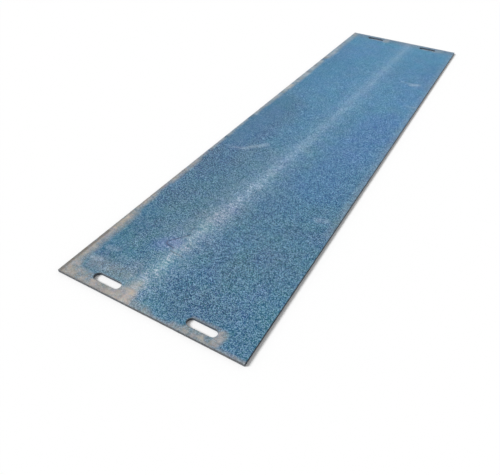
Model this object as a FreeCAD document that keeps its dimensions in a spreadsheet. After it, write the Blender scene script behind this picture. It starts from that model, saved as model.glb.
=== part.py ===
import FreeCAD, Part
import os
import Sketcher

# Ground protection mat: one sheet of pressed recycled polyethylene, sawn to size and laid flat as a
# roadway, with four hand slots that people lift, drag and lash it by. All sizes are in millimetres.
# The frame: +X across the width, +Y along the length, +Z up, origin at the middle of the underside.

# The driving dimensions. Each one can be changed by itself.
SIZES = {
    # Length of the sheet along Y
    "sheet_length": 4000,
    # Width of the sheet along X
    "sheet_width": 1000,
    # Thickness of the sheet along Z
    "sheet_thickness": 15,
    # Hand slot from end to end, along X
    "slot_length": 150,
    # Hand slot from side to side, which is also the diameter of its round ends
    "slot_width": 45,
    # From the middle of one slot to the middle of the other, across the sheet
    "slot_spacing": 515,
    # From the middle of a slot to the short edge of the sheet next to it
    "slot_end_distance": 65,
    # Round that the router leaves on both rims of a slot, so that it is kind to hands
    "slot_rim_radius": 2,
    # Bevel scraped along the sawn arrises and corners
    "arris_bevel": 1,
}

# Two points nearer than this are taken as one
TOLERANCE = 0.001


def make_sizes_sheet(doc):
    """Make the spreadsheet that holds the driving dimensions, one named cell a row."""
    sheet = doc.addObject("Spreadsheet::Sheet", "sizes")
    for row, (alias, value) in enumerate(SIZES.items(), start=1):
        sheet.set(f"A{row}", alias)
        sheet.set(f"B{row}", str(value))
        sheet.setAlias(f"B{row}", alias)
    return sheet


def origin_feature(body, role):
    """Return the body's own origin plane or axis of that role."""
    return next(item for item in body.Origin.OriginFeatures if item.Role == role)


def sketch_on_underside(body, name):
    """Make a sketch on the plane of the sheet's underside."""
    sketch = body.newObject("Sketcher::SketchObject", name)
    sketch.AttachmentSupport = (origin_feature(body, "XY_Plane"), [""])
    sketch.MapMode = "FlatFace"
    return sketch


def bind_constraint(sketch, name, constraint, formula):
    """Add a constraint that takes its value from the named sizes."""
    index = sketch.addConstraint(constraint)
    sketch.renameConstraint(index, name)
    sketch.setExpression(f"Constraints.{name}", formula)


def draw_sheet_outline(sketch, sheet):
    """Draw the sheet's rectangle, centred on the sketch's origin."""
    half_width = sheet.sheet_width / 2
    half_length = sheet.sheet_length / 2
    corners = [
        FreeCAD.Vector(-half_width, -half_length, 0),
        FreeCAD.Vector(half_width, -half_length, 0),
        FreeCAD.Vector(half_width, half_length, 0),
        FreeCAD.Vector(-half_width, half_length, 0),
    ]
    near, right, far, left = [
        sketch.addGeometry(Part.LineSegment(corners[i], corners[(i + 1) % 4])) for i in range(4)
    ]
    for before, after in ((near, right), (right, far), (far, left), (left, near)):
        sketch.addConstraint(Sketcher.Constraint("Coincident", before, 2, after, 1))
    for line in (near, far):
        sketch.addConstraint(Sketcher.Constraint("Horizontal", line))
    for line in (right, left):
        sketch.addConstraint(Sketcher.Constraint("Vertical", line))
    # The near left corner and the far right corner lie opposite each other about the origin
    sketch.addConstraint(Sketcher.Constraint("Symmetric", near, 1, far, 1, -1, 1))
    bind_constraint(
        sketch,
        "across",
        Sketcher.Constraint("DistanceX", near, 1, near, 2, 2 * half_width),
        "sizes.sheet_width",
    )
    bind_constraint(
        sketch,
        "along",
        Sketcher.Constraint("DistanceY", right, 1, right, 2, 2 * half_length),
        "sizes.sheet_length",
    )


def draw_slot_outline(sketch, sheet):
    """Draw the near left hand slot: two straight sides along X, joined by two half circles."""
    radius = sheet.slot_width / 2
    straight = sheet.slot_length - sheet.slot_width
    left_x = -sheet.slot_spacing / 2 - straight / 2
    right_x = left_x + straight
    middle_y = -(sheet.sheet_length / 2 - sheet.slot_end_distance)

    def half_circle(centre_x, outward):
        """Return the half circle about centre_x that bulges to the side of outward, -1 or 1."""
        start = FreeCAD.Vector(centre_x, middle_y - outward * radius, 0)
        middle = FreeCAD.Vector(centre_x + outward * radius, middle_y, 0)
        end = FreeCAD.Vector(centre_x, middle_y + outward * radius, 0)
        return Part.Arc(start, middle, end)

    def side(from_x, to_x, offset):
        """Return the straight side that far above or below the slot's middle line."""
        start = FreeCAD.Vector(from_x, middle_y + offset, 0)
        end = FreeCAD.Vector(to_x, middle_y + offset, 0)
        return Part.LineSegment(start, end)

    near_side = sketch.addGeometry(side(left_x, right_x, -radius))
    right_end = sketch.addGeometry(half_circle(right_x, 1))
    far_side = sketch.addGeometry(side(right_x, left_x, radius))
    left_end = sketch.addGeometry(half_circle(left_x, -1))
    for before, after in (
        (near_side, right_end),
        (right_end, far_side),
        (far_side, left_end),
        (left_end, near_side),
    ):
        sketch.addConstraint(Sketcher.Constraint("Tangent", before, 2, after, 1))
    sketch.addConstraint(Sketcher.Constraint("Horizontal", near_side))
    sketch.addConstraint(Sketcher.Constraint("Equal", left_end, right_end))
    bind_constraint(
        sketch,
        "end_radius",
        Sketcher.Constraint("Radius", left_end, radius),
        "sizes.slot_width / 2",
    )
    bind_constraint(
        sketch,
        "straight_run",
        Sketcher.Constraint("DistanceX", left_end, 3, right_end, 3, straight),
        "sizes.slot_length - sizes.slot_width",
    )
    bind_constraint(
        sketch,
        "from_centre_line",
        Sketcher.Constraint("DistanceX", left_end, 3, -1, 1, -left_x),
        "(sizes.slot_spacing + sizes.slot_length - sizes.slot_width) / 2",
    )
    bind_constraint(
        sketch,
        "from_middle",
        Sketcher.Constraint("DistanceY", left_end, 3, -1, 1, -middle_y),
        "sizes.sheet_length / 2 - sizes.slot_end_distance",
    )


def is_on_outline(edge, sheet):
    """Tell whether the edge lies on one of the sheet's four sawn sides."""
    middle = edge.BoundBox.Center
    across = abs(abs(middle.x) - sheet.sheet_width / 2)
    along = abs(abs(middle.y) - sheet.sheet_length / 2)
    return min(across, along) < TOLERANCE


def edge_names(shape, wanted):
    """Return the names of the shape's edges for which wanted is true."""
    return [f"Edge{i}" for i, edge in enumerate(shape.Edges, start=1) if wanted(edge)]


def make_sheet_blank(doc, body, sheet):
    """Make the plain sheet, as it leaves the saw."""
    outline = sketch_on_underside(body, "sheet_outline")
    draw_sheet_outline(outline, sheet)
    blank = body.newObject("PartDesign::Pad", "sheet_blank")
    blank.Profile = outline
    blank.setExpression("Length", "sizes.sheet_thickness")
    doc.recompute()
    return blank


def cut_hand_slots(doc, body, sheet):
    """Cut the near left hand slot through the sheet and repeat it at the other three corners."""
    outline = sketch_on_underside(body, "slot_outline")
    draw_slot_outline(outline, sheet)
    slot = body.newObject("PartDesign::Pocket", "hand_slot")
    slot.Profile = outline
    slot.Type = "ThroughAll"
    # The sketch is on the underside, so the cut goes up into the sheet
    slot.Reversed = True
    doc.recompute()

    slots = body.newObject("PartDesign::LinearPattern", "hand_slots")
    slots.Originals = [slot]
    slots.Direction = (origin_feature(body, "X_Axis"), [""])
    slots.setExpression("Length", "sizes.slot_spacing")
    slots.Occurrences = 2
    slots.Direction2 = (origin_feature(body, "Y_Axis"), [""])
    slots.setExpression("Length2", "sizes.sheet_length - 2 * sizes.slot_end_distance")
    slots.Occurrences2 = 2
    body.Tip = slots
    doc.recompute()
    return slots


def round_slot_rims(doc, body, slots, sheet):
    """Round the upper and lower rim of every hand slot."""

    def is_slot_rim(edge):
        """Tell whether the edge is level and lies inside the sheet's outline."""
        return edge.BoundBox.ZLength < TOLERANCE and not is_on_outline(edge, sheet)

    rims = body.newObject("PartDesign::Fillet", "slot_rims")
    rims.Base = (slots, edge_names(slots.Shape, is_slot_rim))
    rims.setExpression("Radius", "sizes.slot_rim_radius")
    doc.recompute()
    return rims


def bevel_arrises(doc, body, rims, sheet):
    """Bevel the sawn sides along both faces and down the four corners."""

    def is_arris(edge):
        """Tell whether the edge lies on the sheet's outline."""
        return is_on_outline(edge, sheet)

    arrises = body.newObject("PartDesign::Chamfer", "arrises")
    arrises.Base = (rims, edge_names(rims.Shape, is_arris))
    arrises.setExpression("Size", "sizes.arris_bevel")
    doc.recompute()
    return arrises


def slot_area(sheet):
    """Return the area of one hand slot's outline: its straight part and its two half circles."""
    straight = sheet.slot_length - sheet.slot_width
    round_ends = Part.Face(Part.Wire(Part.makeCircle(sheet.slot_width / 2))).Area
    return straight * sheet.slot_width + round_ends


def check_document(doc, slots, sheet):
    """Stop if a feature failed, or if the four slots didn't take their volume out of the sheet."""
    for item in doc.Objects:
        if "Invalid" in item.State or "Error" in item.State:
            raise RuntimeError(f"{item.Name} failed: {item.State}")
    blank_volume = sheet.sheet_length * sheet.sheet_width * sheet.sheet_thickness
    expected = blank_volume - 4 * slot_area(sheet) * sheet.sheet_thickness
    if abs(slots.Shape.Volume - expected) > TOLERANCE * expected:
        raise RuntimeError(f"the slots leave {slots.Shape.Volume}, not {expected}")


def export_body(body):
    """Write the finished solid to its STEP file."""
    shape = body.Shape
    if shape.isNull() or not shape.isValid() or len(shape.Solids) != 1:
        raise RuntimeError(f"{body.Label} isn't one valid solid")
    shape.exportStep(f"parts/{body.Label}.step")
    box = shape.BoundBox
    print(f"{body.Label}: {box.XLength:.1f} x {box.YLength:.1f} x {box.ZLength:.1f} mm,", end=" ")
    print(f"{shape.Volume / 1e9:.5f} cubic metres")


def main():
    """Build the mat and write it."""
    os.makedirs("parts", exist_ok=True)
    doc = FreeCAD.newDocument("ground_protection_mat")
    sheet = make_sizes_sheet(doc)
    doc.recompute()

    body = doc.addObject("PartDesign::Body", "mat")
    body.Label = "mat"
    make_sheet_blank(doc, body, sheet)
    slots = cut_hand_slots(doc, body, sheet)
    rims = round_slot_rims(doc, body, slots, sheet)
    bevel_arrises(doc, body, rims, sheet)
    body.Placement = FreeCAD.Placement()
    doc.recompute()

    check_document(doc, slots, sheet)
    export_body(body)


main()
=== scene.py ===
"""Looks of a ground protection mat: one sheet of pressed recycled polyethylene with four hand slots.

The sheet is one closed skin. Its two faces are fields of cells, its sawn edge is a section carried round
the outline, and each hand slot is a section carried round the slot. Lengths are in metres, in the part's
own frame: X across the sheet, Y along it, Z up, with the origin at the middle of the underside.
"""
import logging
import math
from dataclasses import dataclass, field
from enum import Enum
from functools import cached_property
from typing import Any, Sequence

import bmesh
import bpy
import numpy as np
from mathutils import Matrix, Vector


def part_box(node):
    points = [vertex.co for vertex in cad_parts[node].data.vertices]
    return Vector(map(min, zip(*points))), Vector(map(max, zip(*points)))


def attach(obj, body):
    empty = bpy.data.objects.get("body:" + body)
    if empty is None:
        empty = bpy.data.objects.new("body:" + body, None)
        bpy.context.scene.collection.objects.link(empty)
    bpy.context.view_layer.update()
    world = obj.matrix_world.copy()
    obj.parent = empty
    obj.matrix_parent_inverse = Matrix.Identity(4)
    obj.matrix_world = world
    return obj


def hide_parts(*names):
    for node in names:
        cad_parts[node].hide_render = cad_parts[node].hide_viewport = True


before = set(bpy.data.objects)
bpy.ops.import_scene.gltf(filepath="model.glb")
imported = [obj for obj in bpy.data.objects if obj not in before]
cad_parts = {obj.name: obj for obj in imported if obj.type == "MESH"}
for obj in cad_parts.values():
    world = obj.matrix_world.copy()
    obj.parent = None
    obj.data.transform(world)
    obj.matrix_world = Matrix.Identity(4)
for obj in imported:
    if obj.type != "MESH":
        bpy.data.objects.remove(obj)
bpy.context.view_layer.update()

LOG = logging.getLogger("ground_protection_mat")

MM = 0.001
# Points nearer to each other than this are one point of the skin
WELD = 0.002 * MM
# How many fine steps of a loop meet one cell of a face
FINE_STEPS = 4


class Finish(Enum):
    """Finish of a part of the skin. The value is its material slot on the mesh."""

    PRESSED = 0
    SAWN = 1
    ROUTED = 2


def linear(hex_colour: str) -> tuple[float, float, float, float]:
    """Turn an sRGB hex colour into linear light.

    Formula: c / 12.92 up to 0.04045, and ((c + 0.055) / 1.055) to the power 2.4 above it.

    Args:
        hex_colour: six hex digits after a hash sign.

    Returns:
        Red, green, blue and an alpha of one.
    """
    encoded = np.array([int(hex_colour[i : i + 2], 16) for i in (1, 3, 5)]) / 255
    light = np.where(encoded <= 0.04045, encoded / 12.92, ((encoded + 0.055) / 1.055) ** 2.4)
    return (*light.tolist(), 1.0)


def lines_between(stops: Sequence[float], spacing: float) -> np.ndarray:
    """Rule lines from stop to stop, in equal steps about as long as the spacing.

    Args:
        stops: the values that have to be on a line, in rising order.
        spacing: the step to come near to.

    Returns:
        All lines in rising order, each stop once.
    """
    runs = [
        np.linspace(low, high, max(1, round((high - low) / spacing)), endpoint=False)
        for low, high in zip(stops[:-1], stops[1:])
    ]
    return np.append(np.concatenate(runs), stops[-1])


def refine(lines: np.ndarray) -> np.ndarray:
    """Divide each gap between neighbouring lines into FINE_STEPS equal steps."""
    count = len(lines) - 1
    return np.interp(np.arange(count * FINE_STEPS + 1) / FINE_STEPS, np.arange(count + 1), lines)


def rectangle_loop(xs: np.ndarray, ys: np.ndarray) -> np.ndarray:
    """Walk once round the outside of a field of lines, anticlockwise seen from above.

    Args:
        xs: the lines across, in rising order.
        ys: the lines along, in rising order.

    Returns:
        The points where the lines meet the walk, one row each, with no point twice.
    """
    near = np.column_stack([xs[:-1], np.full(len(xs) - 1, ys[0])])
    right = np.column_stack([np.full(len(ys) - 1, xs[-1]), ys[:-1]])
    far = np.column_stack([xs[:0:-1], np.full(len(xs) - 1, ys[-1])])
    left = np.column_stack([np.full(len(ys) - 1, xs[0]), ys[:0:-1]])
    return np.concatenate([near, right, far, left])


def ripple(places: np.ndarray, lap: float, waves: tuple[int, int], count: int, seed: int) -> np.ndarray:
    """Give a smooth uneven value along a closed path.

    Formula: a half plus the mean of cosines of 2 pi k s / lap + phase, with whole numbers k drawn
    between the two counts of waves, kept between 0 and 1.

    Args:
        places: how far along the path each point is.
        lap: the length of the path, after which the value repeats.
        waves: the smallest and the largest number of waves in a lap.
        count: how many cosines are added.
        seed: the seed of the draw.

    Returns:
        One value for each point.
    """
    draw = np.random.default_rng(seed)
    turns = draw.integers(waves[0], waves[1], count)
    phases = draw.uniform(0, 2 * np.pi, count)
    waviness = np.cos(np.multiply.outer(places, 2 * np.pi * turns / lap) + phases).mean(axis=-1)
    return np.clip(0.5 + waviness, 0, 1)


@dataclass
class Skin:
    """Patches of surface that meet along their rims and are welded into one closed mesh."""

    name: str
    points: list[np.ndarray] = field(default_factory=list)
    faces: list[list[int]] = field(default_factory=list)
    slots: list[int] = field(default_factory=list)
    count: int = 0

    def add(self, points: np.ndarray, faces: np.ndarray, slots: np.ndarray) -> None:
        """Add one patch.

        Args:
            points: the patch's points, with their three values last.
            faces: the corners of each face, as rows of numbers of the patch's points.
            slots: the material slot of each face.
        """
        self.points.append(points.reshape(-1, 3))
        self.faces += (faces + self.count).tolist()
        self.slots += slots.tolist()
        self.count += len(self.points[-1])

    def add_field(self, xs: np.ndarray, ys: np.ndarray, z: float, open_cells: np.ndarray) -> None:
        """Add a level field of cells, with some cells left open.

        Args:
            xs: the lines across.
            ys: the lines along.
            z: the height of the field.
            open_cells: true for each cell that is left out, one row for each step along.
        """
        x, y = np.meshgrid(xs, ys)
        first = np.arange(len(ys) - 1)[:, None] * len(xs) + np.arange(len(xs) - 1)
        cells = np.stack([first, first + 1, first + len(xs) + 1, first + len(xs)], axis=-1)
        kept = cells[~open_cells]
        points = np.stack([x, y, np.full_like(x, z)], axis=-1)
        self.add(points, kept, np.full(len(kept), Finish.PRESSED.value))

    def add_band(self, loops: np.ndarray, finishes: Sequence[Finish]) -> None:
        """Add a band of four-sided faces between closed loops, each joined to the next.

        Args:
            loops: the points, by loop and then by place along the loop.
            finishes: the finish of the strip between each loop and the next.
        """
        rows, size = loops.shape[:2]
        first = np.arange(rows - 1)[:, None] * size
        here = first + np.arange(size)
        beside = first + (np.arange(size) + 1) % size
        faces = np.stack([here, beside, beside + size, here + size], axis=-1).reshape(-1, 4)
        self.add(loops, faces, np.repeat([finish.value for finish in finishes], size))

    def add_fans(self, coarse: np.ndarray, fine: np.ndarray) -> None:
        """Join a loop of few points to a loop with FINE_STEPS times as many, by small fans.

        Args:
            coarse: the loop along the cells of a face.
            fine: the loop with more points, which starts beside the first point of the other.
        """
        few, many = len(coarse), len(fine)
        corner = np.arange(few)
        beside = (corner + 1) % few
        step = [few + (corner * FINE_STEPS + i) % many for i in range(FINE_STEPS + 1)]
        fans = [
            (corner, step[0], step[1]),
            (corner, step[1], step[2]),
            (corner, step[2], beside),
            (beside, step[2], step[3]),
            (beside, step[3], step[4]),
        ]
        triangles = np.concatenate([np.column_stack(corners) for corners in fans])
        slots = np.full(len(triangles), Finish.PRESSED.value)
        self.add(np.concatenate([coarse, fine]), triangles, slots)

    def weld(self) -> bpy.types.Object:
        """Weld the patches into one mesh and put it into an object at the origin.

        Returns:
            The object, whose mesh is closed and faces outwards.
        """
        mesh = bpy.data.meshes.new(self.name)
        mesh.from_pydata(np.concatenate(self.points).tolist(), [], self.faces)
        mesh.polygons.foreach_set("material_index", self.slots)
        skin = bmesh.new()
        skin.from_mesh(mesh)
        bmesh.ops.remove_doubles(skin, verts=skin.verts, dist=WELD)
        loose = [vertex for vertex in skin.verts if not vertex.link_faces]
        bmesh.ops.delete(skin, geom=loose, context="VERTS")
        bmesh.ops.recalc_face_normals(skin, faces=skin.faces)
        open_edges = sum(not edge.is_manifold for edge in skin.edges)
        skin.to_mesh(mesh)
        skin.free()
        if open_edges:
            raise RuntimeError(f"{self.name} has {open_edges} open edges")
        piece = bpy.data.objects.new(self.name, mesh)
        bpy.context.scene.collection.objects.link(piece)
        return piece


@dataclass
class Dents:
    """Small hollows that knocks and drags have left along an arris."""

    lap: float
    count: int
    seed: int
    half_width: tuple[float, float] = (4 * MM, 15 * MM)
    depth: tuple[float, float] = (0.1 * MM, 0.9 * MM)

    def along(self, places: np.ndarray) -> np.ndarray:
        """Give the depth of the dents along a path.

        Formula: the sum over the dents of depth times exp(-((s - centre) / half width) squared).

        Args:
            places: how far along the path each point is.

        Returns:
            How far the arris is knocked back at each point.
        """
        draw = np.random.default_rng(self.seed)
        centres = draw.uniform(0, self.lap, self.count)
        widths = draw.uniform(*self.half_width, self.count)
        depths = draw.uniform(*self.depth, self.count)
        return np.exp(-(((places[:, None] - centres) / widths) ** 2)) @ depths


@dataclass
class SawnEdge:
    """The sawn edge of the sheet, with its arrises scraped off and knocked about."""

    half_width: float
    half_length: float
    thickness: float
    # The corners are rounded by this much, about a rectangle that lies as far inside the edge
    corner_radius: float = 2 * MM
    corner_points: int = 3
    bevel: float = 1.1 * MM
    # The band begins this far inside that rectangle, on both faces
    margin: float = 4 * MM
    saw_wander: float = 0.3 * MM
    # The wander's smallest and largest number of waves in a lap, and how many are added
    wander_waves: tuple[int, int] = (15, 240)
    wander_count: int = 30
    # How many dents each arris has
    dents: int = 90

    @property
    def inner(self) -> np.ndarray:
        """Half sizes of the rectangle that the corners are rounded about."""
        return np.array([self.half_width, self.half_length]) - self.corner_radius

    def outline(self, xs: np.ndarray, ys: np.ndarray) -> tuple[np.ndarray, np.ndarray]:
        """Walk round the sheet, with a few more points where the walk turns each corner.

        Formula: a side keeps one normal, and at a corner the normal turns by a quarter in equal steps
        while the place stays.

        Args:
            xs: the fine lines across the faces, which set the points of the two ends.
            ys: the fine lines along the faces, which set the points of the two long sides.

        Returns:
            The places on the square from -1 to 1, and the outward normal at each.
        """
        across, along = xs / xs[-1], ys / ys[-1]
        sides = [
            (np.column_stack([across, np.full_like(across, -1)]), -90.0),
            (np.column_stack([np.ones_like(along), along]), 0.0),
            (np.column_stack([across[::-1], np.ones_like(across)]), 90.0),
            (np.column_stack([np.full_like(along, -1), along[::-1]]), 180.0),
        ]
        turn = 90 * np.arange(1, self.corner_points + 1) / (self.corner_points + 1)
        places, angles = [], []
        for side, angle in sides:
            places += [side, np.repeat(side[-1:], self.corner_points, axis=0)]
            angles += [np.full(len(side), angle), angle + turn]
        heading = np.radians(np.concatenate(angles))
        return np.concatenate(places), np.column_stack([np.cos(heading), np.sin(heading)])

    def section(self) -> np.ndarray:
        """Draw the section of the edge, from the upper face over the wall to the underside.

        Returns:
            For each point of the section a row of: how far it is outside the rectangle, its height,
            and how much of the saw's wander, of a dent's push inwards and of its sink it takes.
        """
        top, reach, bevel = self.thickness, self.corner_radius, self.bevel
        upper = np.array(
            [
                (-self.margin, top, 0, 0, 0),
                (-0.5 * MM, top, 0, 0, 0.05),
                (reach - bevel, top, 0.2, 0.4, 0.4),
                (reach - 0.6 * bevel, top - 0.15 * bevel, 0.6, 0.8, 0.5),
                (reach - 0.15 * bevel, top - 0.6 * bevel, 1, 1, 0.4),
                (reach, top - bevel, 1, 0.9, 0.2),
                (reach, top - 2.4 * bevel, 1, 0.45, 0),
                (reach, top - 4.8 * bevel, 1, 0.1, 0),
            ]
        )
        lower = upper[::-1] * (1, -1, 1, 1, -1) + (0, top, 0, 0, 0)
        return np.concatenate([upper, lower])

    def loops(self, xs: np.ndarray, ys: np.ndarray) -> np.ndarray:
        """Carry the section round the outline.

        Formula: a point is the rectangle's point, drawn in by the part of its distance that is below
        zero, plus the normal times the part above zero, less the saw's wander and the dents.

        Args:
            xs: the fine lines across the faces.
            ys: the fine lines along the faces.

        Returns:
            The points, by point of the section and then by place round the sheet.
        """
        square, normal = self.outline(xs, ys)
        steps = np.linalg.norm((np.roll(square, -1, axis=0) - square) * self.inner, axis=1)
        places = np.concatenate([[0], np.cumsum(steps)[:-1]])
        lap = steps.sum()
        wander_along = ripple(places, lap, self.wander_waves, self.wander_count, seed=3)
        saw = self.saw_wander * wander_along
        upper = Dents(lap, self.dents, seed=5).along(places)
        lower = Dents(lap, self.dents, seed=8).along(places)
        out, height, wander, push, sink = self.section().T[:, :, None]
        dent = np.where(height > self.thickness / 2, upper, lower)
        reach = np.maximum(out, 0)
        reach = np.maximum(reach - wander * saw - push * dent, 0)
        inside = np.minimum(out, 0)
        x = square[:, 0] * (self.inner[0] + inside) + normal[:, 0] * reach
        y = square[:, 1] * (self.inner[1] + inside) + normal[:, 1] * reach
        return np.stack([x, y, height - sink * dent], axis=-1)

    def finishes(self) -> list[Finish]:
        """Give the finish of each strip of the section: sawn, but for two strips on each face."""
        on_face = [Finish.PRESSED] * 2
        sawn = len(self.section()) - 1 - 2 * len(on_face)
        return on_face + [Finish.SAWN] * sawn + on_face

    def add_to(self, skin: Skin, xs: np.ndarray, ys: np.ndarray) -> None:
        """Add the edge to the skin, with the fans that join it to the cells of both faces.

        Args:
            skin: the skin to add to.
            xs: the lines across the faces.
            ys: the lines along the faces.
        """
        fine_xs, fine_ys = refine(xs), refine(ys)
        skin.add_band(self.loops(fine_xs, fine_ys), self.finishes())
        coarse = rectangle_loop(xs, ys)
        begin = (self.inner - self.margin) / (xs[-1], ys[-1])
        fine = rectangle_loop(fine_xs, fine_ys) * begin
        for z in (self.thickness, 0.0):
            skin.add_fans(
                np.column_stack([coarse, np.full(len(coarse), z)]),
                np.column_stack([fine, np.full(len(fine), z)]),
            )


@dataclass
class HandSlot:
    """One routed hand slot: a long hole with round ends and rounded rims."""

    centre: tuple[float, float]
    thickness: float
    seed: int
    length: float = 150 * MM
    width: float = 45 * MM
    rim: float = 2 * MM
    rim_points: int = 5
    # The heights of the wall's inner points, as shares of the thickness
    wall_shares: tuple[float, ...] = (0.66, 0.5, 0.34)
    # Half sizes of the window in each face that the rings round the slot fill
    window: tuple[float, float] = (100 * MM, 39 * MM)
    # How near each ring comes from the window's outline to the rim
    ring_shares: tuple[float, ...] = (0.25, 0.48, 0.68, 0.84, 0.94)
    cutter_chatter: float = 0.15 * MM
    # The chatter's smallest and largest number of waves in a lap, and how many are added
    chatter_waves: tuple[int, int] = (3, 30)
    chatter_count: int = 8

    def window_lines(self, xs: np.ndarray, ys: np.ndarray) -> tuple[np.ndarray, np.ndarray]:
        """Pick the lines of the faces that cross this slot's window.

        Args:
            xs: the lines across the faces.
            ys: the lines along the faces.

        Returns:
            Those of the lines across, and those of the lines along.
        """
        across = np.abs(xs - self.centre[0]) < self.window[0] + WELD
        along = np.abs(ys - self.centre[1]) < self.window[1] + WELD
        return xs[across], ys[along]

    def covers(self, xs: np.ndarray, ys: np.ndarray) -> np.ndarray:
        """Tell which cells of a face lie inside this slot's window.

        Args:
            xs: the lines across the faces.
            ys: the lines along the faces.

        Returns:
            True for each such cell, one row for each step along.
        """
        across = np.abs((xs[:-1] + xs[1:]) / 2 - self.centre[0]) < self.window[0]
        along = np.abs((ys[:-1] + ys[1:]) / 2 - self.centre[1]) < self.window[1]
        return along[:, None] & across

    def wall_loop(self, count: int) -> tuple[np.ndarray, np.ndarray]:
        """Walk once round the slot's wall, anticlockwise, at an even pace.

        Formula: the walk runs along the near side, turns by a half about the right end, runs back along
        the far side and turns by a half about the left end. It starts an eighth of a lap of the round
        ends before the near side, beside the first corner of the window.

        Args:
            count: how many points the walk has.

        Returns:
            The points, and the normal at each, away from the slot's middle line.
        """
        radius = self.width / 2
        straight = self.length - self.width
        arc = math.pi * radius
        lap = 2 * (straight + arc)
        s = (np.arange(count) / count * lap - arc / 4) % lap
        first_turn = np.clip(s - straight, 0, arc)
        second_turn = np.clip(s - 2 * straight - arc, 0, arc)
        heading = (first_turn + second_turn) / radius - math.pi / 2
        run = np.clip(s, 0, straight) - np.clip(s - straight - arc, 0, straight) - straight / 2
        normal = np.column_stack([np.cos(heading), np.sin(heading)])
        middle = np.column_stack([run, np.zeros(count)])
        return self.centre + middle + radius * normal, normal

    def section(self) -> np.ndarray:
        """Draw the section of the slot, from the upper face down the wall to the underside.

        Formula: a rim is a quarter circle, with out = rim (1 - sin t) and depth = rim (1 - cos t).

        Returns:
            For each point a row of: how far it is outside the wall, its height, and how much of the
            cutter's chatter it takes.
        """
        t = np.radians(np.linspace(0, 90, self.rim_points))
        upper = np.column_stack(
            [self.rim * (1 - np.sin(t)), self.thickness - self.rim * (1 - np.cos(t)), np.sin(t)]
        )
        middle = np.array([(0, self.thickness * share, 1) for share in self.wall_shares])
        lower = upper[::-1] * (1, -1, 1) + (0, self.thickness, 0)
        return np.concatenate([upper, middle, lower])

    def add_to(self, skin: Skin, xs: np.ndarray, ys: np.ndarray) -> None:
        """Add the slot's wall and rims, and the rings that join them to the cells of both faces.

        Formula: a ring is a mix of the window's outline and the rim, and the rim's share grows ring by
        ring. The section is carried along the wall's normal.

        Args:
            skin: the skin to add to.
            xs: the lines across the faces.
            ys: the lines along the faces.
        """
        window_xs, window_ys = self.window_lines(xs, ys)
        coarse = rectangle_loop(window_xs, window_ys)
        fine = rectangle_loop(refine(window_xs), refine(window_ys))
        count = len(fine)
        wall, normal = self.wall_loop(count)
        out, height, chatter = self.section().T[:, :, None]
        steps = np.arange(count)
        uneven = ripple(steps, count, self.chatter_waves, self.chatter_count, self.seed)
        push = (out + chatter * self.cutter_chatter * uneven)[..., None]
        level = np.broadcast_to(height[..., None], (len(height), count, 1))
        section = np.concatenate([wall + push * normal, level], axis=-1)
        skin.add_band(section, [Finish.ROUTED] * (len(section) - 1))

        share = np.array(self.ring_shares)[:, None, None]
        rings = (1 - share) * fine + share * (wall + self.rim * normal)
        for z, rim in ((self.thickness, section[:1]), (0.0, section[-1:])):
            flat = np.concatenate([rings, np.full((*rings.shape[:2], 1), z)], axis=-1)
            skin.add_fans(np.column_stack([coarse, np.full(len(coarse), z)]), flat[0])
            skin.add_band(np.concatenate([flat, rim]), [Finish.PRESSED] * len(flat))


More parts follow.
